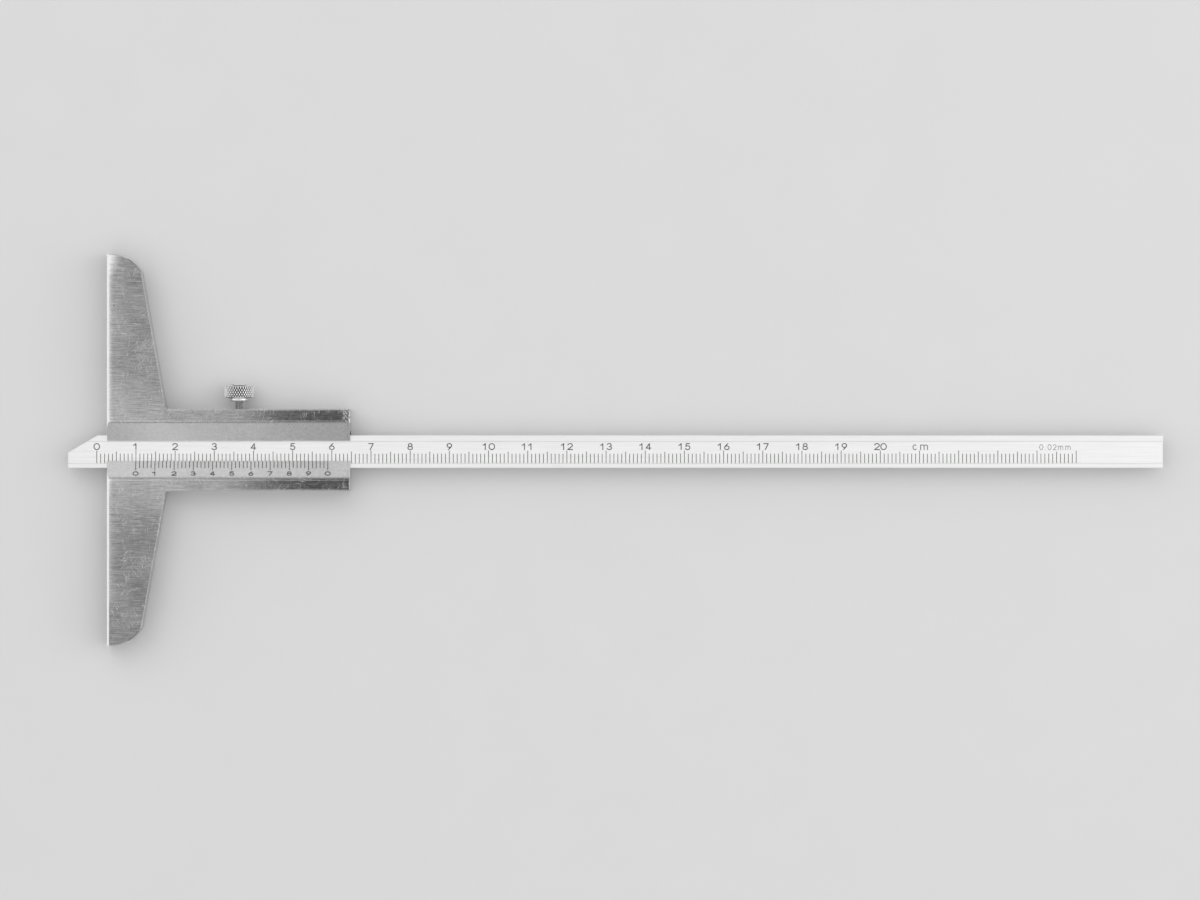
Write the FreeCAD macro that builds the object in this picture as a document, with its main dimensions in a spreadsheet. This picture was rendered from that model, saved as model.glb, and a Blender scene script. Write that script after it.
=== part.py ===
import FreeCAD, Part
import math
import os

import Sketcher

# Depth vernier caliper: a T-shaped head carries a beam that slides through it.
# X runs along the beam, away from the datum face, and Y runs along the datum face.
# Z points out of the front, where the scales are.
# The origin is the place of the beam's tip at a reading of zero, midway through the beam's thickness.

SIZES = {
    # Head: the base and the slider body, one piece of steel
    "base_span": 100.0,
    "head_length": 62.0,
    "body_width": 21.0,
    "wing_root_width": 15.0,
    "wing_tip_width": 8.0,
    "tip_radius": 9.2,
    "tip_flat": 0.8,
    "tip_corner_radius": 1.2,
    "wing_root_radius": 1.5,
    "back_wall": 1.9,
    "front_wall": 1.4,
    "datum_chamfer": 0.5,
    "edge_chamfer": 0.25,
    # Slot for the beam, and the window that shows its scale
    "slide_gap": 0.05,
    "seat_gap": 0.02,
    "beam_drop": 0.43,
    "spring_space": 0.98,
    "upper_lip": 1.4,
    "lower_lip": 1.8,
    "lip_edge": 0.25,
    "recess_half_width": 7.1,
    "recess_step": 0.25,
    # Beam
    "beam_length": 279.4,
    "beam_width": 8.4,
    "beam_thickness": 3.6,
    "tip_land": 4.0,
    "tip_bevel_angle": 30.0,
    "beam_chamfer": 0.15,
    "upper_land": 1.57,
    "lower_land": 1.21,
    "scale_recess": 0.12,
    "rest_reading": 10.0,
    # Leaf spring between the beam's upper edge and the slot
    "leaf_length": 50.0,
    "leaf_width": 3.0,
    "leaf_thickness": 0.3,
    "leaf_rise": 0.2,
    "leaf_hole": 1.4,
    # Lock screw
    "lock_place": 33.5,
    "screw_diameter": 2.0,
    "thread_gap": 0.03,
    "hole_chamfer": 0.2,
    "dog_diameter": 1.2,
    "dog_length": 0.25,
    "neck_length": 2.03,
    "collar_diameter": 4.7,
    "collar_height": 0.74,
    "knob_diameter": 7.45,
    "knob_height": 3.14,
    "knob_rim_drop": 0.3,
    "knob_rim_width": 0.93,
    "crown_diameter": 3.7,
    "crown_height": 0.5,
    "crown_round": 0.3,
    "knurl_count": 32.0,
    "knurl_rows": 6.0,
    "knurl_depth": 0.24,
    # Set screws that press the leaf spring either side of the lock screw
    "set_screw_spread": 14.5,
    "set_screw_length": 5.8,
    "driver_slot_width": 0.4,
    "driver_slot_depth": 0.7,
    "set_screw_chamfer": 0.2,
}

# Heights and places that several pieces share, as expressions on the sheet
BEAM_TOP = "(Sizes.beam_width / 2 - Sizes.beam_drop)"
BEAM_BOTTOM = "(-Sizes.beam_width / 2 - Sizes.beam_drop)"
SLOT_TOP = f"({BEAM_TOP} + Sizes.spring_space)"
SLOT_BOTTOM = f"({BEAM_BOTTOM} - Sizes.seat_gap)"
SLOT_HALF_DEPTH = "(Sizes.beam_thickness / 2 + Sizes.slide_gap)"
FRONT_FACE = f"({SLOT_HALF_DEPTH} + Sizes.front_wall)"
BACK_FACE = f"(-{SLOT_HALF_DEPTH} - Sizes.back_wall)"
HEAD_THICKNESS = f"({FRONT_FACE} - {BACK_FACE})"
LEAF_FOOT = f"({BEAM_TOP} + Sizes.seat_gap)"
LEAF_RADIUS = "((Sizes.leaf_length ^ 2 / 4 + Sizes.leaf_rise ^ 2) / (2 * Sizes.leaf_rise))"
LEAF_CROWN = f"({LEAF_FOOT} + Sizes.leaf_rise + Sizes.leaf_thickness)"
SCREW_SEAT = f"({LEAF_CROWN} + Sizes.seat_gap)"
LEAF_AXIS = f"({LEAF_FOOT} + Sizes.leaf_rise - {LEAF_RADIUS})"
LEAF_BACK = f"sqrt(({LEAF_RADIUS} + Sizes.leaf_thickness) ^ 2 - Sizes.set_screw_spread ^ 2)"
SET_SCREW_SEAT = f"({LEAF_AXIS} + {LEAF_BACK} + Sizes.seat_gap)"
KNOB_BASE = "(Sizes.body_width / 2 + Sizes.neck_length + Sizes.collar_height)"

TINY = 1e-4


def make_sheet(doc):
    """Puts the driving dimensions in a sheet, one alias to a row."""
    sheet = doc.addObject("Spreadsheet::Sheet", "Sizes")
    for row, (name, value) in enumerate(SIZES.items(), start=1):
        sheet.set(f"A{row}", name)
        sheet.set(f"B{row}", str(value))
        sheet.setAlias(f"B{row}", name)
    doc.recompute()
    return sheet


def make_body(doc, label, places=None):
    """Starts a body, with the coordinates of its Placement bound to the sheet."""
    body = doc.addObject("PartDesign::Body", label)
    body.Label = label
    for axis, expression in (places or {}).items():
        body.setExpression(f"Placement.Base.{axis}", expression)
    return body


def origin_plane(body, role):
    """Returns one of the body's own origin planes."""
    return next(f for f in body.Origin.OriginFeatures if f.Role == role)


def sketch_on(body, name, role):
    """Attaches a new sketch to one of the body's origin planes."""
    sketch = body.newObject("Sketcher::SketchObject", name)
    sketch.AttachmentSupport = [(origin_plane(body, role), "")]
    sketch.MapMode = "FlatFace"
    return sketch


def bind(sketch, constraint, expression):
    """Adds a dimension to the sketch and ties it to the sheet."""
    index = sketch.addConstraint(constraint)
    sketch.setExpression(f"Constraints[{index}]", expression)


def place_of(sketch, across, up):
    """Works out a pair of expressions as a point on the sketch."""
    return FreeCAD.Vector(number(sketch, across), number(sketch, up), 0)


def number(item, expression):
    """Works out an expression as a plain number."""
    result = item.evalExpression(expression)
    return float(getattr(result, "Value", result))


def draw_outline(sketch, corners):
    """Draws a closed run of straight lines. Each corner is a pair of expressions."""
    count = len(corners)
    start = [place_of(sketch, across, up) for across, up in corners]
    for i in range(count):
        sketch.addGeometry(Part.LineSegment(start[i], start[(i + 1) % count]), False)
    for i in range(count):
        sketch.addConstraint(Sketcher.Constraint("Coincident", i, 2, (i + 1) % count, 1))
    for i, (across, up) in enumerate(corners):
        bind(sketch, Sketcher.Constraint("DistanceX", i, 1, start[i].x), across)
        bind(sketch, Sketcher.Constraint("DistanceY", i, 1, start[i].y), up)


def draw_circle(sketch, across, up, radius):
    """Draws a circle whose centre and radius are expressions."""
    centre = place_of(sketch, across, up)
    size = number(sketch, radius)
    index = sketch.addGeometry(Part.Circle(centre, FreeCAD.Vector(0, 0, 1), size), False)
    bind(sketch, Sketcher.Constraint("DistanceX", index, 3, centre.x), across)
    bind(sketch, Sketcher.Constraint("DistanceY", index, 3, centre.y), up)
    bind(sketch, Sketcher.Constraint("Radius", index, size), radius)


def draw_spandrel(sketch, centre_across, centre_up, radius):
    """Draws what a quarter circle leaves of its square: the corner that an arc rounds off."""
    centre = place_of(sketch, centre_across, centre_up)
    size = number(sketch, radius)
    right, top = centre + FreeCAD.Vector(size, 0, 0), centre + FreeCAD.Vector(0, size, 0)
    corner = centre + FreeCAD.Vector(size, size, 0)
    circle = Part.Circle(centre, FreeCAD.Vector(0, 0, 1), size)
    sketch.addGeometry(Part.ArcOfCircle(circle, 0, math.pi / 2), False)
    sketch.addGeometry(Part.LineSegment(top, corner), False)
    sketch.addGeometry(Part.LineSegment(corner, right), False)
    sketch.addConstraint(Sketcher.Constraint("Coincident", 0, 2, 1, 1))
    sketch.addConstraint(Sketcher.Constraint("Coincident", 1, 2, 2, 1))
    sketch.addConstraint(Sketcher.Constraint("Coincident", 2, 2, 0, 1))
    sketch.addConstraint(Sketcher.Constraint("Horizontal", 1))
    sketch.addConstraint(Sketcher.Constraint("Vertical", 2))
    bind(sketch, Sketcher.Constraint("DistanceX", 0, 3, centre.x), centre_across)
    bind(sketch, Sketcher.Constraint("DistanceY", 0, 3, centre.y), centre_up)
    bind(sketch, Sketcher.Constraint("Radius", 0, size), radius)
    bind(sketch, Sketcher.Constraint("DistanceX", 0, 2, top.x), centre_across)
    bind(sketch, Sketcher.Constraint("DistanceY", 0, 1, right.y), centre_up)


def pad(body, sketch, length, symmetric=False, offset=None):
    """Pads a sketch along its normal, about its plane or from an offset."""
    if offset:
        sketch.setExpression("AttachmentOffset.Base.z", offset)
    feature = body.newObject("PartDesign::Pad", f"{sketch.Name}Pad")
    feature.Profile = sketch
    feature.setExpression("Length", length)
    if symmetric:
        feature.SideType = "Symmetric"
    sketch.Document.recompute()
    return feature


def pocket(body, sketch, reverse=False, depth=None):
    """Cuts a sketch through all of the body, or to a depth, and checks that it cut something."""
    before = body.Shape.Volume
    feature = body.newObject("PartDesign::Pocket", f"{sketch.Name}Cut")
    feature.Profile = sketch
    feature.Reversed = reverse
    if depth:
        feature.setExpression("Length", depth)
    else:
        feature.Type = "ThroughAll"
    sketch.Document.recompute()
    if body.Shape.Volume > before - TINY:
        raise ValueError(f"{feature.Name} cuts nothing from {body.Label}")
    return feature


def revolve(body, sketch, angle=None):
    """Turns a sketch about its vertical axis, all the way round or by an angle about its plane."""
    feature = body.newObject("PartDesign::Revolution", f"{sketch.Name}Turn")
    feature.Profile = sketch
    feature.ReferenceAxis = (sketch, ["V_Axis"])
    if angle:
        feature.Midplane = True
        feature.setExpression("Angle", angle)
    sketch.Document.recompute()
    return feature


def edge_names(shape, wanted):
    """Names the edges of a shape whose bounding box passes a test."""
    return [f"Edge{n}" for n, edge in enumerate(shape.Edges, start=1) if wanted(edge.BoundBox)]


def soften(body, kind, name, size, wanted):
    """Fillets or chamfers the edges of the body's tip that pass a test."""
    base = body.Tip
    names = edge_names(base.Shape, wanted)
    if not names:
        raise ValueError(f"{name} finds no edge on {body.Label}")
    feature = body.newObject(f"PartDesign::{kind}", name)
    feature.Base = (base, names)
    feature.setExpression("Radius" if kind == "Fillet" else "Size", size)
    body.Document.recompute()
    return feature


def is_upright(box):
    """True for the bounding box of an edge that runs along Z."""
    return box.XLength < TINY and box.YLength < TINY


def value(sheet, alias):
    """Reads one driving dimension from the sheet."""
    return float(sheet.get(alias))


def make_head(doc, sheet):
    """The T-shaped head: wings, slider body, slot, window and tapped holes."""
    body = make_body(doc, "head")
    half_span = "Sizes.base_span / 2"
    half_body = "Sizes.body_width / 2"

    plan = sketch_on(body, "HeadPlan", "XY_Plane")
    draw_outline(plan, [
        ("0", "0"),
        ("Sizes.head_length", "0"),
        ("Sizes.head_length", half_body),
        ("Sizes.wing_root_width", half_body),
        ("Sizes.wing_tip_width", half_span),
        ("0", half_span),
    ])
    half_head = pad(body, plan, HEAD_THICKNESS, offset=BACK_FACE)

    tip = sketch_on(body, "WingTip", "XY_Plane")
    draw_spandrel(tip, "Sizes.tip_flat", f"{half_span} - Sizes.tip_radius", "Sizes.tip_radius")
    tip.setExpression("AttachmentOffset.Base.z", FRONT_FACE)
    tip_cut = pocket(body, tip)

    mirror = body.newObject("PartDesign::Mirrored", "HeadMirror")
    mirror.Originals = [half_head, tip_cut]
    mirror.MirrorPlane = (origin_plane(body, "XZ_Plane"), [""])
    body.Tip = mirror
    doc.recompute()

    body_edge = value(sheet, "body_width") / 2
    span_edge = value(sheet, "base_span") / 2
    tip_foot = span_edge - value(sheet, "tip_radius") + TINY
    length = value(sheet, "head_length")
    root = value(sheet, "wing_root_width")

    def is_root_corner(box):
        return is_upright(box) and abs(box.XMin - root) < TINY and abs(abs(box.YMin) - body_edge) < TINY

    def is_tip_corner(box):
        return is_upright(box) and tip_foot < abs(box.YMin) < span_edge - TINY

    soften(body, "Fillet", "WingRoots", "Sizes.wing_root_radius", is_root_corner)
    soften(body, "Fillet", "TipCorners", "Sizes.tip_corner_radius", is_tip_corner)

    def is_face_edge(box):
        return box.ZLength < TINY and box.XMax < TINY

    soften(body, "Chamfer", "DatumEdges", "Sizes.datum_chamfer", is_face_edge)
    front = body.Shape.BoundBox.ZMax
    back = body.Shape.BoundBox.ZMin
    chamfer = value(sheet, "datum_chamfer")

    def is_outer_edge(box):
        flat = box.ZLength < TINY and min(abs(box.ZMin - front), abs(box.ZMin - back)) < TINY
        on_chamfer = box.XMax < chamfer + TINY
        return flat and not on_chamfer

    soften(body, "Chamfer", "OuterEdges", "Sizes.edge_chamfer", is_outer_edge)

    slot = sketch_on(body, "BeamSlot", "YZ_Plane")
    draw_outline(slot, [
        (SLOT_BOTTOM, f"-{SLOT_HALF_DEPTH}"),
        (SLOT_TOP, f"-{SLOT_HALF_DEPTH}"),
        (SLOT_TOP, SLOT_HALF_DEPTH),
        (SLOT_BOTTOM, SLOT_HALF_DEPTH),
    ])
    pocket(body, slot, reverse=True)

    window_top = f"{BEAM_TOP} - Sizes.upper_lip"
    window_bottom = f"{BEAM_BOTTOM} + Sizes.lower_lip"
    lip_height = f"{SLOT_HALF_DEPTH} + Sizes.lip_edge"
    slope_end = "(Sizes.recess_half_width - Sizes.recess_step)"
    step_foot = f"{FRONT_FACE} - Sizes.recess_step"
    clear_above = f"{FRONT_FACE} + Sizes.front_wall"
    window = sketch_on(body, "Window", "YZ_Plane")
    draw_outline(window, [
        (window_bottom, "0"),
        (window_top, "0"),
        (window_top, lip_height),
        (slope_end, step_foot),
        ("Sizes.recess_half_width", FRONT_FACE),
        ("Sizes.recess_half_width", clear_above),
        ("-Sizes.recess_half_width", clear_above),
        ("-Sizes.recess_half_width", FRONT_FACE),
        (f"-{slope_end}", step_foot),
        (window_bottom, lip_height),
    ])
    pocket(body, window, reverse=True)

    holes = sketch_on(body, "ScrewHoles", "XZ_Plane")
    for place in screw_places():
        draw_circle(holes, place, "0", "Sizes.screw_diameter / 2 + Sizes.thread_gap")
    pocket(body, holes)

    def is_hole_mouth(box):
        return box.YLength < TINY and abs(box.YMin - body_edge) < TINY and box.XLength < body_edge / 2 \
            and box.ZLength > TINY and box.XMax < length - TINY

    soften(body, "Chamfer", "HoleMouths", "Sizes.hole_chamfer", is_hole_mouth)
    return body


def screw_places():
    """The places of the lock screw and the two set screws along the head."""
    lock = "Sizes.lock_place"
    return [lock, f"{lock} - Sizes.set_screw_spread", f"{lock} + Sizes.set_screw_spread"]


def make_beam(doc, sheet):
    """The beam: a bevelled tip, two guide lands and the sunk face that carries the scale."""
    body = make_body(doc, "beam", {"x": "-Sizes.rest_reading", "y": BEAM_BOTTOM})
    bevel_run = "(Sizes.beam_width - Sizes.tip_land) / tan(Sizes.tip_bevel_angle * 1 deg)"

    plan = sketch_on(body, "BeamPlan", "XY_Plane")
    draw_outline(plan, [
        ("0", "0"),
        ("Sizes.beam_length", "0"),
        ("Sizes.beam_length", "Sizes.beam_width"),
        (bevel_run, "Sizes.beam_width"),
        ("0", "Sizes.tip_land"),
    ])
    pad(body, plan, "Sizes.beam_thickness", symmetric=True)

    half = value(sheet, "beam_thickness") / 2
    length = value(sheet, "beam_length")
    width = value(sheet, "beam_width")

    def is_long_edge(box):
        on_face = box.ZLength < TINY and abs(abs(box.ZMin) - half) < TINY
        on_edge = abs(box.YMin) < TINY or abs(box.YMin - width) < TINY
        at_end = abs(box.XMin - length) < TINY
        return on_face and (on_edge and box.YLength < TINY or at_end)

    soften(body, "Chamfer", "BeamEdges", "Sizes.beam_chamfer", is_long_edge)

    face = sketch_on(body, "ScaleFace", "XZ_Plane")
    face.setExpression("AttachmentOffset.Base.z", "-Sizes.lower_land")
    draw_outline(face, [
        ("-Sizes.beam_width", "Sizes.beam_thickness / 2 - Sizes.scale_recess"),
        ("Sizes.beam_length + Sizes.beam_width", "Sizes.beam_thickness / 2 - Sizes.scale_recess"),
        ("Sizes.beam_length + Sizes.beam_width", "Sizes.beam_thickness"),
        ("-Sizes.beam_width", "Sizes.beam_thickness"),
    ])
    pocket(body, face, depth="Sizes.beam_width - Sizes.upper_land - Sizes.lower_land")
    return body


def make_leaf_spring(doc):
    """The leaf spring: a strip bent about a far axis, with a hole that the lock screw's point finds."""
    body = make_body(doc, "leaf_spring", {"x": "Sizes.lock_place", "y": LEAF_AXIS})
    strip = sketch_on(body, "LeafSection", "YZ_Plane")
    draw_outline(strip, [
        (LEAF_RADIUS, "-Sizes.leaf_width / 2"),
        (f"{LEAF_RADIUS} + Sizes.leaf_thickness", "-Sizes.leaf_width / 2"),
        (f"{LEAF_RADIUS} + Sizes.leaf_thickness", "Sizes.leaf_width / 2"),
        (LEAF_RADIUS, "Sizes.leaf_width / 2"),
    ])
    revolve(body, strip, angle=f"2 * asin(Sizes.leaf_length / (2 * {LEAF_RADIUS}))")

    hole = sketch_on(body, "PointHole", "XZ_Plane")
    draw_circle(hole, "0", "0", "Sizes.leaf_hole / 2")
    pocket(body, hole)
    return body


def make_lock_screw(doc, sheet):
    """The lock screw: a turned stem, collar and crown, joined to a diamond-knurled rim."""
    stem = make_body(doc, "ScrewStem")
    radius = "Sizes.screw_diameter / 2"
    dog = "Sizes.dog_diameter / 2"
    collar = "Sizes.collar_diameter / 2"
    crown = "Sizes.crown_diameter / 2"
    collar_foot = "(Sizes.body_width / 2 + Sizes.neck_length)"
    knob_top = f"({KNOB_BASE} + Sizes.knob_height)"
    core = "(Sizes.knob_diameter / 2 - Sizes.knob_rim_width - Sizes.knurl_depth)"
    profile = sketch_on(stem, "StemProfile", "XY_Plane")
    draw_outline(profile, [
        ("0", f"{SCREW_SEAT} - Sizes.dog_length"),
        (dog, f"{SCREW_SEAT} - Sizes.dog_length"),
        (dog, SCREW_SEAT),
        (f"{radius} - Sizes.hole_chamfer", SCREW_SEAT),
        (radius, f"{SCREW_SEAT} + Sizes.hole_chamfer"),
        (radius, collar_foot),
        (f"{collar} - Sizes.collar_height / 3", collar_foot),
        (collar, f"{collar_foot} + Sizes.collar_height / 3"),
        (collar, KNOB_BASE),
        (core, KNOB_BASE),
        (core, knob_top),
        (crown, knob_top),
        (crown, f"{knob_top} + Sizes.crown_height - Sizes.crown_round"),
        (f"{crown} - Sizes.crown_round", f"{knob_top} + Sizes.crown_height"),
        ("0", f"{knob_top} + Sizes.crown_height"),
    ])
    revolve(stem, profile)

    lattice = doc.addObject("Part::Feature", "KnurlLattice")
    lattice.Shape = knurl_shape(sheet)
    envelope = make_body(doc, "KnobEnvelope")
    rim = "Sizes.knob_diameter / 2"
    rim_profile = sketch_on(envelope, "RimProfile", "XY_Plane")
    draw_outline(rim_profile, [
        ("0", KNOB_BASE),
        (f"{rim} - Sizes.knob_rim_width", KNOB_BASE),
        (rim, f"{KNOB_BASE} + Sizes.knob_rim_drop"),
        (rim, f"{knob_top} - Sizes.knob_rim_drop"),
        (f"{rim} - Sizes.knob_rim_width", knob_top),
        ("0", knob_top),
    ])
    revolve(envelope, rim_profile)

    knob = doc.addObject("Part::Common", "KnurledKnob")
    knob.Base = lattice
    knob.Tool = envelope
    screw = doc.addObject("Part::Fuse", "lock_screw")
    screw.Base = stem
    screw.Tool = knob
    screw.Label = "lock_screw"
    screw.Refine = True
    screw.setExpression("Placement.Base.x", "Sizes.lock_place")
    doc.recompute()
    return screw


def knurl_shape(sheet):
    """A closed drum of small pyramids, as two crossing sets of slanted grooves leave them.

    Each ring of points alternates between a groove's floor and a pyramid's peak, and the next ring
    has them the other way round. Two triangles fill each cell, and they meet in a groove.
    """
    count = int(value(sheet, "knurl_count"))
    rows = int(value(sheet, "knurl_rows"))
    peak = value(sheet, "knob_diameter") / 2
    floor = peak - value(sheet, "knurl_depth")
    base = value(sheet, "body_width") / 2 + value(sheet, "neck_length") + value(sheet, "collar_height")
    step = value(sheet, "knob_height") / rows

    def point(row, place):
        radius = floor if (row + place) % 2 == 0 else peak
        angle = math.pi * place / count
        return FreeCAD.Vector(radius * math.cos(angle), base + row * step, radius * math.sin(angle))

    def face(*corners):
        return Part.Face(Part.makePolygon([*corners, corners[0]]))

    faces = []
    for row in range(rows):
        for place in range(2 * count):
            low, low_next = point(row, place), point(row, place + 1)
            high, high_next = point(row + 1, place), point(row + 1, place + 1)
            if (row + place) % 2 == 0:
                faces += [face(low, low_next, high_next), face(low, high_next, high)]
            else:
                faces += [face(low, low_next, high), face(low_next, high_next, high)]
    for row in (0, rows):
        faces.append(face(*[point(row, place) for place in range(2 * count)]))
    return Part.Solid(Part.Shell(faces))


def make_set_screw(doc, label, place):
    """A headless set screw with a driver slot, pressing on the leaf spring."""
    body = make_body(doc, label, {"x": place})
    radius = "Sizes.screw_diameter / 2"
    chamfer = "Sizes.set_screw_chamfer"
    foot = SET_SCREW_SEAT
    head = f"({SET_SCREW_SEAT} + Sizes.set_screw_length)"
    profile = sketch_on(body, f"{label}Profile", "XY_Plane")
    draw_outline(profile, [
        ("0", foot),
        (f"{radius} - {chamfer}", foot),
        (radius, f"{foot} + {chamfer}"),
        (radius, f"{head} - {chamfer}"),
        (f"{radius} - {chamfer}", head),
        ("0", head),
    ])
    revolve(body, profile)

    slot = sketch_on(body, f"{label}Slot", "YZ_Plane")
    half_slot = "Sizes.driver_slot_width / 2"
    draw_outline(slot, [
        (f"{head} - Sizes.driver_slot_depth", f"-{half_slot}"),
        (f"{head} + {chamfer}", f"-{half_slot}"),
        (f"{head} + {chamfer}", half_slot),
        (f"{head} - Sizes.driver_slot_depth", half_slot),
    ])
    pocket(body, slot).Midplane = True
    doc.recompute()
    return body


def check_document(doc):
    """Stops if any object of the document failed."""
    for item in doc.Objects:
        if "Invalid" in item.State or "Error" in item.State:
            raise ValueError(f"{item.Name} failed: {item.State}")


def export(pieces):
    """Writes each sub-part to its own file."""
    for piece in pieces:
        shape = piece.Shape
        if shape.isNull() or not shape.isValid() or not shape.Solids:
            raise ValueError(f"{piece.Label} has no valid solid")
    os.makedirs("parts", exist_ok=True)
    for piece in pieces:
        piece.Shape.exportStep(f"parts/{piece.Label}.step")
        box = piece.Shape.BoundBox
        corners = [round(v, 2) for v in (box.XMin, box.YMin, box.ZMin, box.XMax, box.YMax, box.ZMax)]
        print(piece.Label, "solids", len(piece.Shape.Solids), "volume", round(piece.Shape.Volume, 1), corners)


def main():
    """Builds the caliper and writes its sub-parts."""
    doc = FreeCAD.newDocument("depth_caliper")
    sheet = make_sheet(doc)
    _, front_place, rear_place = screw_places()
    pieces = [
        make_head(doc, sheet),
        make_beam(doc, sheet),
        make_leaf_spring(doc),
        make_lock_screw(doc, sheet),
        make_set_screw(doc, "set_screw_front", front_place),
        make_set_screw(doc, "set_screw_rear", rear_place),
    ]
    doc.recompute()
    check_document(doc)
    export(pieces)


main()
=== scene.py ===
"""The looks of a depth caliper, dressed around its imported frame.

X runs along the beam, Y along the measuring face and Z out of the graduated face. Sizes are in
millimetres until they reach a mesh, and every mesh is in metres.
"""

import logging
import math
from dataclasses import dataclass, field
from enum import Enum
from typing import Iterable, Sequence

import bmesh
import bpy
import numpy as np
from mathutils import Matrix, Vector


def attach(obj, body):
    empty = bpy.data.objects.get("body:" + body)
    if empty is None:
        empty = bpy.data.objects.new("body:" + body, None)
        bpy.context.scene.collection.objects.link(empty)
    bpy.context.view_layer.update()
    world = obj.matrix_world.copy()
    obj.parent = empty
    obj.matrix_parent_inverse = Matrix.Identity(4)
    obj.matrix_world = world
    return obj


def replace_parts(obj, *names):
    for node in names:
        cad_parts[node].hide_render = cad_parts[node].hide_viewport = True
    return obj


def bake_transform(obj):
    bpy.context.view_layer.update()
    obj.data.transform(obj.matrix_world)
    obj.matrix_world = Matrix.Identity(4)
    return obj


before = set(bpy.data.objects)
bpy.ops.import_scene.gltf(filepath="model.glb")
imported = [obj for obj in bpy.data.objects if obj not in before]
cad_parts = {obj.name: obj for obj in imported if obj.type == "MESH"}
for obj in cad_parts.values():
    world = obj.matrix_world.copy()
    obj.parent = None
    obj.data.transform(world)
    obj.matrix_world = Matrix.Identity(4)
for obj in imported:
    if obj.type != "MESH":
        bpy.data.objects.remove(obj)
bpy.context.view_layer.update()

LOG = logging.getLogger("depth_caliper")
MM = 0.001

# The least share of Z in the direction of a face that looks out, and of one that is no side.
LOOKS_OUT = 0.9
LEANS_OUT = 0.3
# The least shares at which the sides of the object count as looking along X and along Z.
LOOKS_ALONG = 0.8
LOOKS_UP = 0.5
# How far the pattern of the front is shifted against that of the back, in metres.
FRONT_SHIFT = 0.013
NOISE_MIDDLE = 0.5
# Keeps a division and an arc cosine within bounds.
TINY = 1e-12
NEARLY_ONE = 0.9999999
PER_CENTIMETRE = 10
PER_HALF = 5

Point = tuple[float, float]
Span = tuple[float, float]
Value = "Link | float"


class Link:
    """An output of a node that takes part in arithmetic: each operator adds its Math node."""

    def __init__(self, tree: "FinishTree", output: bpy.types.NodeSocket) -> None:
        """Wraps one output of a tree."""
        self.tree = tree
        self.output = output

    def __add__(self, other: Value) -> "Link":
        """Sum."""
        return self.tree.math("ADD", self, other)

    def __radd__(self, other: Value) -> "Link":
        """Sum with a plain number on the left."""
        return self.tree.math("ADD", other, self)

    def __sub__(self, other: Value) -> "Link":
        """Difference."""
        return self.tree.math("SUBTRACT", self, other)

    def __rsub__(self, other: Value) -> "Link":
        """Difference with a plain number on the left."""
        return self.tree.math("SUBTRACT", other, self)

    def __mul__(self, other: Value) -> "Link":
        """Product."""
        return self.tree.math("MULTIPLY", self, other)

    def __rmul__(self, other: Value) -> "Link":
        """Product with a plain number on the left."""
        return self.tree.math("MULTIPLY", other, self)

    def __truediv__(self, other: Value) -> "Link":
        """Quotient."""
        return self.tree.math("DIVIDE", self, other)

    def __gt__(self, other: Value) -> "Link":
        """1 where this is greater, 0 elsewhere."""
        return self.tree.math("GREATER_THAN", self, other)

    def __lt__(self, other: Value) -> "Link":
        """1 where this is less, 0 elsewhere."""
        return self.tree.math("LESS_THAN", self, other)

    def __abs__(self) -> "Link":
        """Size without sign."""
        return self.tree.math("ABSOLUTE", self)

    def rise(self, start: float, end: float) -> "Link":
        """Ramps smoothly from 0 at start to 1 at end, or falls where end is the smaller."""
        settings = {"interpolation_type": "SMOOTHSTEP"}
        low, high, first, last = (start, end, 0.0, 1.0) if start < end else (end, start, 1.0, 0.0)
        inputs = {"Value": self, "From Min": low, "From Max": high, "To Min": first, "To Max": last}
        return Link(self.tree, self.tree.node("ShaderNodeMapRange", settings, inputs).outputs["Result"])

    def span(self, start: float, end: float) -> "Link":
        """Ramps between two places that are given in millimetres."""
        return self.rise(start * MM, end * MM)

    def near(self, reach: float, core: float) -> "Link":
        """1 up to the core's distance from nought and 0 beyond the reach, in millimetres."""
        return abs(self).span(reach, core)

    def swing(self, share: float) -> "Link":
        """A share of how far noise swings about its middle."""
        return (self - NOISE_MIDDLE) * share


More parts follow.
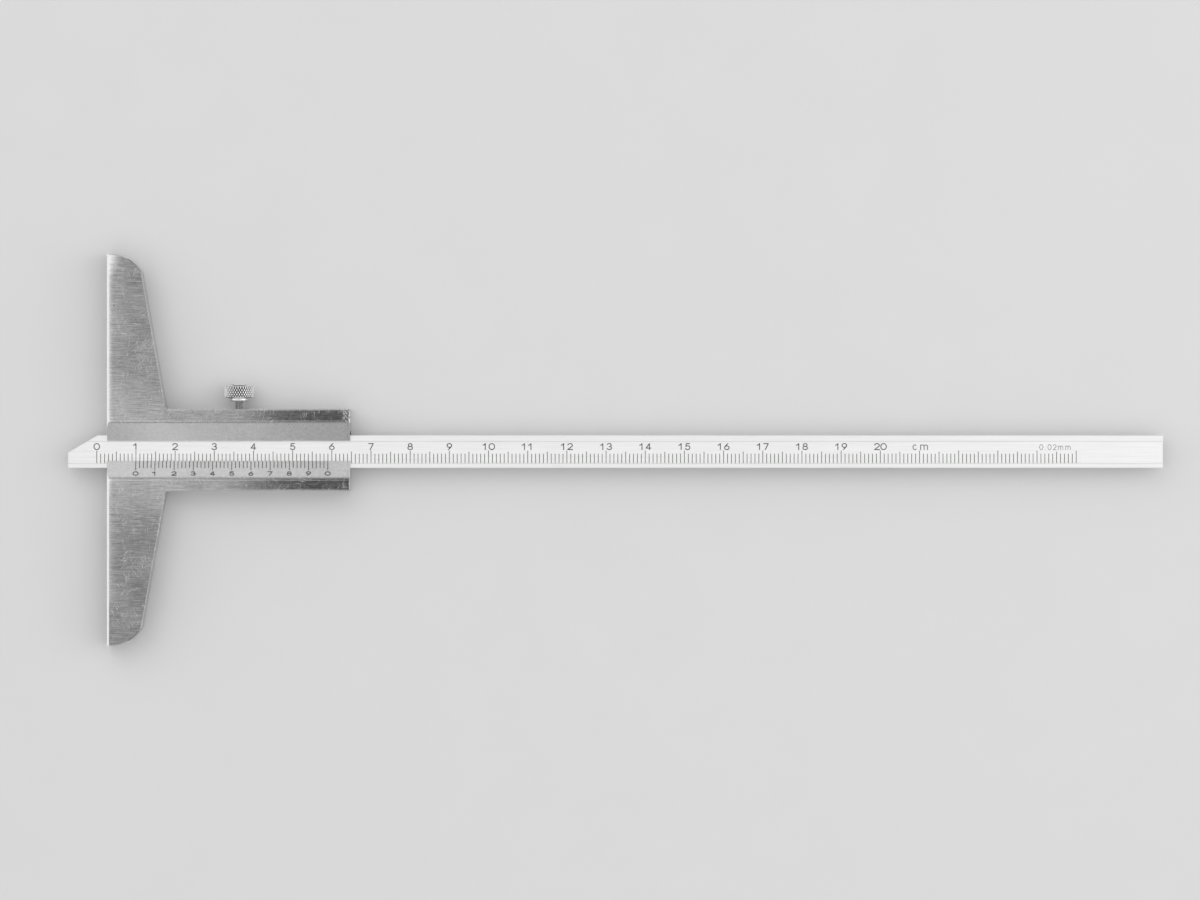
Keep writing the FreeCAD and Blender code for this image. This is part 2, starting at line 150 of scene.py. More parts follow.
class FinishTree:
    """The node tree of a material or a world, with one method that makes any node in it."""

    def __init__(self, owner: bpy.types.ID) -> None:
        """Clears the owner's nodes.

        Args:
            owner: a material or a world.
        """
        owner.use_nodes = True
        self.nodes = owner.node_tree.nodes
        self.links = owner.node_tree.links
        self.nodes.clear()

    def node(self, kind: str, settings: dict | None = None, inputs: dict | None = None) -> bpy.types.Node:
        """Makes a node.

        Args:
            kind: the node's type.
            settings: its properties, set first.
            inputs: values or links of its sockets, by name or by number.

        Returns:
            The node.
        """
        made = self.nodes.new(kind)
        for name, value in (settings or {}).items():
            setattr(made, name, value)
        for key, value in (inputs or {}).items():
            self._feed(made.inputs[key], value)
        return made

    def _feed(self, socket: bpy.types.NodeSocket, value: object) -> None:
        """Links a socket to a Link or an output, or sets its own value."""
        if isinstance(value, Link):
            self.links.new(value.output, socket)
        elif isinstance(value, bpy.types.NodeSocket):
            self.links.new(value, socket)
        else:
            socket.default_value = value

    def math(self, operation: str, *values: Value) -> Link:
        """Adds a Math node with this operation and these inputs."""
        made = self.node("ShaderNodeMath", {"operation": operation}, dict(enumerate(values)))
        return Link(self, made.outputs[0])

    def greatest(self, first: Link, *others: Value) -> Link:
        """The greatest of several values."""
        result = first
        for other in others:
            result = self.math("MAXIMUM", result, other)
        return result

    def place(self) -> Link:
        """The point on the object, in metres in the object's own frame."""
        return Link(self, self.node("ShaderNodeTexCoord").outputs["Object"])

    def facing(self) -> Link:
        """The way the surface faces, in the object's own frame."""
        return Link(self, self.node("ShaderNodeTexCoord").outputs["Normal"])

    def split(self, vector: Link) -> tuple[Link, Link, Link]:
        """The three parts of a vector."""
        made = self.node("ShaderNodeSeparateXYZ", None, {0: vector})
        return tuple(Link(self, output) for output in made.outputs)

    def unfold(self, place: Link, facing: Link) -> Link:
        """Lays the sides of the object flat, so that one pattern suits them all.

        Args:
            place: the point on the object.
            facing: the way the surface faces.

        Returns:
            A vector that runs first along X, or along Y where the surface looks along X, and then across.
        """
        along_x, along_y, height = self.split(place)
        looks_x, _, looks_z = (abs(part) for part in self.split(facing))
        first = self.blend(looks_x > LOOKS_ALONG, along_x, along_y)
        second = self.blend(looks_z > LOOKS_UP, height, along_y)
        made = self.node("ShaderNodeCombineXYZ", None, {0: first, 1: second, 2: (height > 0) * FRONT_SHIFT})
        return Link(self, made.outputs[0])

    def stretch(self, vector: Link, factors: Sequence[float], offset: Sequence[float] = (0, 0, 0)) -> Link:
        """Multiplies a vector part by part, then shifts it."""
        inputs = {0: vector, 1: factors, 2: offset}
        return Link(self, self.node("ShaderNodeVectorMath", {"operation": "MULTIPLY_ADD"}, inputs).outputs[0])

    def turn(self, vector: Link, degrees: float) -> Link:
        """Turns a vector about Z."""
        inputs = {"Vector": vector, "Angle": math.radians(degrees)}
        return Link(self, self.node("ShaderNodeVectorRotate", {"rotation_type": "Z_AXIS"}, inputs).outputs[0])

    def noise(
        self, vector: Link, detail: float = 2.0, roughness: float = 0.5, distortion: float = 0.0
    ) -> Link:
        """Noise of one cell to a unit of the vector."""
        inputs = {"Vector": vector, "Scale": 1.0, "Detail": detail, "Roughness": roughness}
        inputs["Distortion"] = distortion
        return Link(self, self.node("ShaderNodeTexNoise", None, inputs).outputs[0])

    def grey(self, value: Link) -> Link:
        """Makes a grey colour from a value."""
        made = self.node("ShaderNodeCombineColor", None, {0: value, 1: value, 2: value})
        return Link(self, made.outputs[0])

    def blend(self, factor: Value, low: Value, high: Value) -> Link:
        """Mixes two values."""
        made = self.node("ShaderNodeMix", {"data_type": "FLOAT"}, {0: factor, 2: low, 3: high})
        return Link(self, made.outputs[0])

    def tint(self, colour: Link, tone: Sequence[float]) -> Link:
        """Multiplies a colour by a fixed tone."""
        settings = {"data_type": "RGBA", "blend_type": "MULTIPLY"}
        made = self.node("ShaderNodeMix", settings, {0: 1.0, 6: colour, 7: (*tone, 1.0)})
        return Link(self, made.outputs[2])

    def bump(self, relief: Link, depth: float) -> Link:
        """Makes a normal from a relief of 0 to 1 that is so many millimetres deep."""
        inputs = {"Strength": 1.0, "Distance": depth * MM, "Height": relief}
        return Link(self, self.node("ShaderNodeBump", None, inputs).outputs[0])

    def surface(self, inputs: dict) -> None:
        """Gives the material a shader with these inputs."""
        shader = self.node("ShaderNodeBsdfPrincipled", None, inputs)
        self.node("ShaderNodeOutputMaterial", None, {"Surface": shader.outputs[0]})

    def metal(self, colour: Link, roughness: Link, relief: Link, depth: float) -> None:
        """Gives the material the shader of bare metal, with a relief so many millimetres deep."""
        normal = self.bump(relief, depth)
        self.surface({"Base Color": colour, "Metallic": 1.0, "Roughness": roughness, "Normal": normal})


def new_finish(name: str) -> tuple[bpy.types.Material, FinishTree]:
    """Makes a material and its empty tree."""
    material = bpy.data.materials.new(name)
    return material, FinishTree(material)


@dataclass(frozen=True)
class Speckle:
    """Noise of so many cells to a metre each way."""

    scales: tuple[float, float, float]
    detail: float = 2.0
    roughness: float = 0.5

    def over(self, tree: FinishTree, place: Link) -> Link:
        """Lays the noise over the object."""
        return tree.noise(tree.stretch(place, self.scales), self.detail, self.roughness)


# The finest grain of a matt surface.
GRAIN = Speckle((8000, 8000, 8000))


@dataclass(frozen=True)
class Scratches:
    """Short light scratches that lie roughly one way, thick in some places and absent in others."""

    degrees: float
    length: float
    width: float
    share: float
    seed: float
    level: float = 0.62
    level_edge: float = 0.07
    waver: float = 0.2
    patch_scale: float = 170.0
    patch_edge: float = 0.14

    def mask(self, tree: FinishTree, flat: Link) -> Link:
        """Lays the scratches over the unfolded surface.

        Args:
            tree: the finish's tree.
            flat: the point on the unfolded surface, in metres.

        Returns:
            1 on a scratch and 0 beside it.
        """
        turned = tree.turn(flat, self.degrees)
        along, across = 1 / (self.length * MM), 1 / (self.width * MM)
        cells = tree.stretch(turned, (along, across, along), (self.seed, self.seed / 2, 0))
        lines = tree.noise(cells, detail=1.0, distortion=self.waver)
        patch = tree.noise(tree.stretch(flat, (self.patch_scale,) * 3, (0, self.seed, 0)), detail=1.0)
        bare = 1 - self.share
        return lines.rise(self.level, self.level + self.level_edge) * patch.rise(bare, bare + self.patch_edge)


@dataclass(frozen=True)
class Brushing:
    """Fine parallel lines left by a belt."""

    fine_width: float = 0.16
    broad_width: float = 0.8
    length: float = 9.0
    height_scale: float = 1000.0
    detail: float = 3.0
    roughness: float = 0.6

    def lines(self, tree: FinishTree, flat: Link) -> tuple[Link, Link]:
        """Noise drawn out into lines.

        Args:
            tree: the finish's tree.
            flat: the point on the unfolded surface, in metres.

        Returns:
            Fine lines and broad lines, each a value about 0.5.
        """
        along = 1 / (self.length * MM)
        widths = (self.fine_width, self.broad_width)
        scales = [(along, 1 / (width * MM), self.height_scale) for width in widths]
        fine, broad = (Speckle(one, self.detail, self.roughness).over(tree, flat) for one in scales)
        return fine, broad


@dataclass(frozen=True)
class EdgeWear:
    """A painted highlight that lightens the head near its measuring edge: spans in millimetres, and tones."""

    start: float = 0.4
    depth: float = 1.5
    tip: Span = (41.0, 50.5)
    tip_depth: float = 3.4
    tip_tone: float = 0.43
    lower: Span = (-43.0, -33.0)
    lower_tone: float = 0.17
    upper: Span = (-14.0, -8.0)
    upper_tone: float = 0.2
    rim: Span = (0.9, 0.4)
    rim_tone: float = 0.15
    upper_wing: Span = (10.0, 22.0)
    upper_wing_fade: Span = (7.0, 0.5)
    upper_wing_tone: float = 0.09
    lower_wing_root: Span = (-12.0, -24.0)
    lower_wing_tip: Span = (-44.0, -36.0)
    lower_wing_fade: Span = (3.6, 0.5)
    lower_wing_tone: float = 0.1

    def lightening(self, tree: FinishTree, along: Link, across: Link) -> Link:
        """Works out the painted highlight at a point.

        Args:
            tree: the finish's tree.
            along: the point's place along X.
            across: its place along Y.

        Returns:
            What the painted highlight adds to the tone.
        """
        to_tip = across.span(*self.tip)
        reach = (to_tip * to_tip * self.tip_depth + self.depth) * MM
        edge = tree.greatest(1 - (along - self.start * MM) / reach, 0.0)
        glow_strength = across.span(*self.lower) * self.lower_tone + across.span(*self.upper) * self.upper_tone
        # Painted highlight: lightens the head near its measuring edge, more towards the wing tips and along
        # the wings' faces.
        worn = edge * edge * (glow_strength + to_tip * self.tip_tone) + along.span(*self.rim) * self.rim_tone
        worn = worn + along.span(*self.upper_wing_fade) * across.span(*self.upper_wing) * self.upper_wing_tone
        lower_wing = across.span(*self.lower_wing_root) * across.span(*self.lower_wing_tip)
        return worn + along.span(*self.lower_wing_fade) * lower_wing * self.lower_wing_tone


@dataclass(frozen=True)
class EdgeLines:
    """Thin painted shadow lines in the corners beside the sunk bands, a thin dark line near the head's right
    end, and painted highlight lines along the edges of the head's faces, in millimetres.
    """

    seam: Span = (0.19, 0.05)
    lower_seam_depth: float = 0.16
    upper_seam_depth: float = 0.26
    seam_growth: float = 0.22
    seam_part: Span = (20.0, 50.0)
    end_place: float = 61.42
    end: Span = (0.16, 0.04)
    end_depth: float = 0.2
    burr: Span = (0.28, 0.08)
    burr_shift: float = 0.41
    rim: Span = (0.26, 0.06)
    rim_place: float = 10.1
    rim_start: float = 15.0

    def draw(self, tree: FinishTree, along: Link, across: Link, band_edge: Link) -> tuple[Link, Link]:
        """Draws the lines.

        Args:
            tree: the finish's tree.
            along: the point's place along X.
            across: its place along Y.
            band_edge: how far from the centre line the sunk band ends.

        Returns:
            How much darker the painted shadow lines make the point, and how much painted highlight line it
            has.
        """
        from_edge = abs(across) - band_edge
        upper_depth = along.span(*self.seam_part) * self.seam_growth + self.upper_seam_depth
        seam = from_edge.near(*self.seam) * tree.blend(across > 0, self.lower_seam_depth, upper_depth)
        end = (along - self.end_place * MM).near(*self.end) * self.end_depth
        rim = (abs(across) - self.rim_place * MM).near(*self.rim) * (along > self.rim_start * MM)
        burr = (from_edge - self.burr_shift * MM).near(*self.burr)
        return tree.greatest(seam, end), tree.greatest(burr, rim)


@dataclass(frozen=True)
class HeadSteel:
    """Belt-brushed outer faces, fine matt sunk bands and chamfers, with scratches of use, and painted
    highlights and shade.
    """

    outer_tone: float = 0.427
    fine_swing: float = 0.75
    broad_swing: float = 0.08
    mottle: Speckle = Speckle((900, 1600, 1200), 3.0, 0.6)
    mottle_swing: float = 0.22
    cloud: Speckle = Speckle((90, 90, 90))
    cloud_swing: float = 0.22
    wing: Span = (8.0, 24.0)
    lower_wing_shade: float = 0.152
    upper_wing_shade: float = 0.1
    wear: EdgeWear = EdgeWear()
    edge_lines: EdgeLines = EdgeLines()
    burr_tone: float = 0.15
    band_tone: float = 0.6
    band_grain: float = 0.2
    band_mottle: float = 0.2
    band_cloud: float = 0.12
    band_shade: float = 0.05
    band_fade: float = 0.248
    band_start: Span = (0.0, 14.0)
    band_start_tone: float = 0.17
    end_chamfer: float = 0.6
    end_chamfer_tone: float = 0.95
    long_chamfer_tone: float = 0.66
    slant_chamfer_tone: float = 0.31
    slant: float = 0.35
    mark_tone: float = 0.86
    mark_cover: float = 0.85
    mark_roughness: float = 0.2
    mark_depth: float = 0.3
    marks_lost_on_band: float = 0.8
    outer_roughness: float = 0.03
    roughness_swing: float = 0.03
    burr_roughness: float = 0.06
    rubbing: Speckle = Speckle((900, 1300, 900), 4.0, 0.65)
    rubbed_level: Span = (0.5, 0.66)
    rubbed_part: Span = (30.0, 46.0)
    rubbed_roughness: float = 0.07
    band_roughness: float = 0.28
    band_roughness_swing: float = 0.1
    chamfer_roughness: float = 0.25
    relief_depth: float = 0.0012
    brushing: Brushing = Brushing(fine_width=0.15, broad_width=0.5, length=5.0)
    belt: Brushing = Brushing(fine_width=0.18, length=24.0)
    scratches: tuple[Scratches, ...] = (
        Scratches(degrees=89, length=2.2, width=0.15, share=0.5, seed=3.1, level=0.63),
        Scratches(degrees=101, length=1.8, width=0.14, share=0.47, seed=23.9, level=0.63),
        Scratches(degrees=58, length=1.8, width=0.13, share=0.48, seed=11.7, level=0.62),
        Scratches(degrees=-50, length=1.7, width=0.13, share=0.48, seed=41.3, level=0.62),
        Scratches(degrees=7, length=3.0, width=0.14, share=0.45, seed=31.3, level=0.63),
        Scratches(degrees=0, length=0.22, width=0.18, share=0.55, seed=53.9, level=0.69),
    )
    nicks: Scratches = Scratches(degrees=52, length=0.9, width=0.17, share=0.9, seed=67.7, level=0.54)
    nicked_end: Span = (59.6, 60.4)

    def material(self, length: float, bands: "SunkBands") -> bpy.types.Material:
        """Builds the material.

        Args:
            length: the head's length along X.
            bands: where the sunk bands lie.

        Returns:
            The material.
        """
        material, tree = new_finish("brushed_head_steel")
        place, facing = tree.place(), tree.facing()
        along, across, height = tree.split(place)
        looks_along, _, out = tree.split(facing)
        front, upper = out > LOOKS_OUT, across > 0
        flat = tree.unfold(place, facing)
        fine, broad = self.brushing.lines(tree, flat)
        groove, _ = self.belt.lines(tree, flat)
        grain, mottle, cloud = (noise.over(tree, place) for noise in (GRAIN, self.mottle, self.cloud))
        rubbed = self.rubbing.over(tree, place).rise(*self.rubbed_level)
        rubbed = rubbed * along.span(*self.rubbed_part)
        band_edge = tree.blend(upper, bands.lower_edge * MM, bands.upper_edge * MM)
        band = (abs(across) < band_edge) * (height > bands.foot * MM) * front
        chamfer = (abs(out) > LEANS_OUT) * (abs(out) < LOOKS_OUT)
        marks = tree.greatest(*[one.mask(tree, flat) for one in self.scratches])
        nicks = self.nicks.mask(tree, flat) * along.span(*self.nicked_end) * (across > band_edge)
        marks = tree.greatest(marks * (1 - band * self.marks_lost_on_band), nicks)
        # Painted shadow lines in the corners beside the sunk bands, a dark line near the right end, and
        # painted highlight lines along the faces' edges.
        seam, burr = (line * front for line in self.edge_lines.draw(tree, along, across, band_edge))

        outer = fine.swing(self.fine_swing) + broad.swing(self.broad_swing) + cloud.swing(self.cloud_swing)
        # Painted highlight near the measuring edge, on the front faces.
        outer = outer + mottle.swing(self.mottle_swing) + self.wear.lightening(tree, along, across) * front
        wing_shade = tree.blend(upper, self.lower_wing_shade, self.upper_wing_shade)
        # The painted highlight lines lighten the outer faces.
        outer = outer + burr * self.burr_tone - abs(across).span(*self.wing) * wing_shade + self.outer_tone
        sunk = grain.swing(self.band_grain) + mottle.swing(self.band_mottle) + cloud.swing(self.band_cloud)
        # Painted shade: the sunk bands are darkened for how the light falls on their slopes, the upper one
        # changing along its length and darkest towards the head's right end.
        fade = along * (self.band_fade / (length * MM)) + self.band_shade
        fade = fade - along.span(*self.band_start) * self.band_start_tone
        sunk = sunk + self.band_tone - tree.blend(upper, self.band_shade, fade)
        # Painted light: each chamfer gets a tone by the way it faces, the measuring edge's chamfer a painted
        # highlight and the slanted chamfers darker.
        slanted = abs(looks_along) > self.slant
        edge_tone = tree.blend(slanted, self.long_chamfer_tone, self.slant_chamfer_tone)
        edge_tone = tree.blend(along < self.end_chamfer * MM, edge_tone, self.end_chamfer_tone)
        tone = tree.blend(chamfer, tree.blend(band, outer, sunk), edge_tone)
        # The painted shadow lines darken the tone under them.
        tone = tree.blend(marks * self.mark_cover, tone, self.mark_tone) * (1 - seam)

        rough = (fine + cloud - 2 * NOISE_MIDDLE) * self.roughness_swing + rubbed * self.rubbed_roughness
        rough = rough + burr * self.burr_roughness + self.outer_roughness
        rough = tree.blend(band, rough, grain.swing(self.band_roughness_swing) + self.band_roughness)
        rough = tree.blend(chamfer, rough, self.chamfer_roughness) + marks * self.mark_roughness
        relief = tree.blend(band, groove, grain) - marks * self.mark_depth
        tree.metal(tree.grey(tone), rough, relief, self.relief_depth)
        return material


@dataclass(frozen=True)
class BeamSteel:
    """A matt chromed scale face between ground guide lands."""

    face_tone: float = 0.96
    land_tone: float = 0.98
    side_tone: float = 0.66
    fine_swing: float = 0.2
    broad_swing: float = 0.14
    mark_shade: float = 0.08
    residue: Span = (0.12, 0.02)
    residue_shade: float = 0.2
    land_roughness: float = 0.44
    face_roughness: float = 0.48
    grain_roughness: float = 0.1
    fine_roughness: float = 0.12
    grain_relief: float = 0.7
    relief_depth: float = 0.003
    brushing: Brushing = Brushing(fine_width=0.14, broad_width=0.7, length=18.0)
    scratches: tuple[Scratches, ...] = (
        Scratches(degrees=1, length=9.0, width=0.14, share=0.42, seed=5.3),
        Scratches(degrees=-2, length=6.0, width=0.16, share=0.40, seed=17.9),
    )

    def material(self, low_edge: float, high_edge: float, face_height: float) -> bpy.types.Material:
        """Builds the material.

        Args:
            low_edge: where the lower land meets the scale face, along Y.
            high_edge: where the upper land meets it.
            face_height: a height below the scale face and above the beam's middle.

        Returns:
            The material.
        """
        material, tree = new_finish("chromed_beam_steel")
        place, facing = tree.place(), tree.facing()
        _, across, height = tree.split(place)
        out = tree.split(facing)[2]
        flat = tree.unfold(place, facing)
        fine, broad = self.brushing.lines(tree, flat)
        grain = GRAIN.over(tree, place)
        marks = tree.greatest(*[one.mask(tree, flat) for one in self.scratches])
        front = (height > face_height * MM) * (out > LOOKS_OUT)
        face = front * (across > low_edge * MM) * (across < high_edge * MM)
        # A thin dark line along each edge of the scale face.
        residue = tree.greatest(*[(across - edge * MM).near(*self.residue) for edge in (low_edge, high_edge)])

        tone = tree.blend(face, self.land_tone, self.face_tone)
        tone = tree.blend(abs(out) < LEANS_OUT, tone, self.side_tone)
        tone = tone + fine.swing(self.fine_swing) + broad.swing(self.broad_swing) - marks * self.mark_shade
        tone = tone - residue * front * self.residue_shade
        rough = tree.blend(face, self.land_roughness, grain.swing(self.grain_roughness) + self.face_roughness)
        rough = rough + fine.swing(self.fine_roughness)
        relief = tree.blend(face, fine, grain * self.grain_relief + fine * (1 - self.grain_relief))
        tree.metal(tree.grey(tone), rough, relief, self.relief_depth)
        return material


@dataclass(frozen=True)
class ScrewPlate:
    """Nickel plate on a turned and knurled screw, darkened by dirt and painted shade in the grooves, under
    the crown and in the thread. Margins are in millimetres.
    """

    tone: float = 0.98
    turning: Speckle = Speckle((300, 9000, 300))
    tool_swing: float = 0.1
    cloud: Speckle = Speckle((1400, 1400, 1400), 3.0)
    cloud_swing: float = 0.16
    groove_tone: float = 0.02
    collar_share: float = 0.84
    stem_share: float = 0.8
    crown_share: float = 0.8
    grime_levels: Span = (0.3, 0.75)
    knurl_margin: float = 0.1
    crown_margin: float = 0.04
    crown_reach: float = 0.3
    thread_margin: float = 0.04
    thread_grime: float = 0.5
    roughness: float = 0.3
    roughness_swing: float = 0.2
    knurl_roughness: float = 0.15
    relief_depth: float = 0.002

    def material(self, screw: "LockScrew") -> bpy.types.Material:
        """Builds the material.

        Args:
            screw: the screw that it goes on.

        Returns:
            The material.
        """
        material, tree = new_finish("nickel_plate")
        place = tree.place()
        side, along, up = tree.split(place)
        side = side - screw.axis_x * MM
        radius = tree.math("SQRT", side * side + up * up)
        tool_marks, cloud = self.turning.over(tree, place), self.cloud.over(tree, place)
        floor = screw.knob_radius - screw.knurl_depth
        in_knurl = radius > (floor - self.knurl_margin) * MM
        dark_reach, bright_reach = (floor + screw.knurl_depth * level for level in self.grime_levels)
        crown_foot = screw.knob_top + screw.crown_groove / 2
        under_crown = abs(along - crown_foot * MM) < (screw.crown_groove / 2 + self.crown_margin) * MM
        under_crown = under_crown * radius.span(screw.crown_radius + self.crown_reach, screw.crown_radius)
        on_stem = along < screw.collar_foot * MM
        thread_top, thread_floor = screw.stem_radius, screw.stem_radius - screw.thread_depth
        in_thread = on_stem * radius.span(thread_top - self.thread_margin, thread_floor + self.thread_margin)
        in_groove = in_knurl * (1 - radius.span(dark_reach, bright_reach))
        # Dirt and painted shade: the knurl grooves, the groove under the crown and, half as much, the thread
        # are made nearly black.
        grime_and_shade = tree.greatest(in_groove, under_crown, in_thread * self.thread_grime)

        tone = tool_marks.swing(self.tool_swing) + cloud.swing(self.cloud_swing) + self.tone
        tone = tone * tree.blend(along < screw.knob_foot * MM, 1.0, self.collar_share)
        tone = tone * tree.blend(on_stem, 1.0, self.stem_share)
        tone = tone * tree.blend(along > crown_foot * MM, 1.0, self.crown_share)
        tone = tree.blend(grime_and_shade, tone, self.groove_tone)
        rough = cloud.swing(self.roughness_swing) + self.roughness + in_knurl * self.knurl_roughness
        tree.metal(tree.grey(tone), rough, tool_marks * (1 - in_knurl), self.relief_depth)
        return material


@dataclass(frozen=True)
class PlainSteel:
    """Drawn or blackened steel of the small inner pieces."""

    slot: str = "spring_steel"
    tone: float = 0.4
    tint: tuple[float, float, float] = (1.0, 1.0, 1.0)
    roughness: float = 0.35
    drawing: Speckle = Speckle((400, 8000, 8000), 3.0)
    cloud: Speckle = Speckle((900, 900, 900), 3.0)
    tone_swing: float = 0.14
    roughness_swing: float = 0.24
    relief_depth: float = 0.002

    def material(self) -> bpy.types.Material:
        """Builds the material."""
        material, tree = new_finish(f"worn_{self.slot}")
        place = tree.place()
        drawn, cloud = self.drawing.over(tree, place), self.cloud.over(tree, place)
        tone = drawn.swing(self.tone_swing) + cloud.swing(self.tone_swing) + self.tone
        rough = cloud.swing(self.roughness_swing) + self.roughness
        tree.metal(tree.tint(tree.grey(tone), self.tint), rough, drawn, self.relief_depth)
        return material


@dataclass(frozen=True)
class EngravingInk:
    """Black filler rubbed into engraved lines, worn a little thin in places."""

    name: str = "engraving_ink"
    tone: float = 0.035
    wear: Speckle = Speckle((1500, 1500, 1500), 3.0)
    wear_levels: Span = (0.35, 0.8)
    wear_tone: float = 0.06
    speck: Speckle = Speckle((16000, 16000, 16000), 1.0)
    speck_tone: float = 0.02
    roughness: float = 0.5
    wear_roughness: float = 0.2
    relief_depth: float = 0.002

    def material(self) -> bpy.types.Material:
        """Builds the material."""
        material, tree = new_finish(self.name)
        place = tree.place()
        wear, speck = self.wear.over(tree, place), self.speck.over(tree, place)
        tone = wear.rise(*self.wear_levels) * self.wear_tone + speck * self.speck_tone + self.tone
        rough = wear * self.wear_roughness + self.roughness
        normal = tree.bump(speck, self.relief_depth)
        tree.surface({"Base Color": tree.grey(tone), "Roughness": rough, "Normal": normal})
        return material


def arc(centre: Point, radii: Point, start: float, end: float, steps: int = 18) -> list[Point]:
    """Points along an ellipse, from one angle in degrees to another, anticlockwise from the right."""
    angles = [math.radians(start + (end - start) * i / steps) for i in range(steps + 1)]
    return [(centre[0] + radii[0] * math.cos(a), centre[1] + radii[1] * math.sin(a)) for a in angles]


# Centre lines of the engraver's characters, in a box one unit wide and one unit high.
STROKES: dict[str, list[list[Point]]] = {
    "0": [arc((0.5, 0.5), (0.5, 0.5), 0, 360, 36)],
    "1": [[(0.02, 0.72), (0.26, 0.80), (0.5, 1.0), (0.5, 0.0)]],
    "2": [arc((0.49, 0.70), (0.43, 0.30), 165, -28) + [(0.04, 0.0), (0.96, 0.0)]],
    "3": [
        arc((0.48, 0.755), (0.40, 0.245), 160, -90),
        arc((0.48, 0.27), (0.46, 0.27), 75, -162),
    ],
    "4": [[(0.98, 0.26), (0.02, 0.26), (0.68, 1.0), (0.68, 0.0)]],
    "5": [[(0.86, 1.0), (0.22, 1.0), (0.13, 0.52)] + arc((0.48, 0.32), (0.46, 0.32), 135, -155)],
    "6": [
        arc((0.5, 0.31), (0.46, 0.31), 0, 360, 30),
        [(0.72, 1.0), (0.44, 0.80), (0.17, 0.52), (0.05, 0.36)],
    ],
    "7": [[(0.05, 1.0), (0.95, 1.0), (0.34, 0.0)]],
    "8": [
        arc((0.5, 0.76), (0.37, 0.24), 0, 360, 30),
        arc((0.5, 0.27), (0.46, 0.27), 0, 360, 30),
    ],
    "9": [
        arc((0.5, 0.69), (0.46, 0.31), 0, 360, 30),
        [(0.28, 0.0), (0.56, 0.20), (0.83, 0.48), (0.95, 0.64)],
    ],
    ".": [[(0.5, 0.0), (0.5, 0.02)]],
    "c": [arc((0.5, 0.36), (0.5, 0.36), 48, 312, 24)],
    "m": [
        [(0.0, 0.0), (0.0, 0.72)],
        arc((0.25, 0.46), (0.25, 0.26), 180, 0, 12) + [(0.5, 0.0)],
        arc((0.75, 0.46), (0.25, 0.26), 180, 0, 12) + [(1.0, 0.0)],
    ],
}


@dataclass(frozen=True)
class FlatShape:
    """Flat faces in a plane, in millimetres."""

    points: list[Point]
    faces: list[tuple[int, ...]]

    def moved(self, across: float, up: float) -> "FlatShape":
        """The same shape at another place."""
        return FlatShape([(x + across, y + up) for x, y in self.points], self.faces)


# How much wider than the others a character is.
WIDENED: dict[str, float] = {"0": 1.1, "2": 1.06}


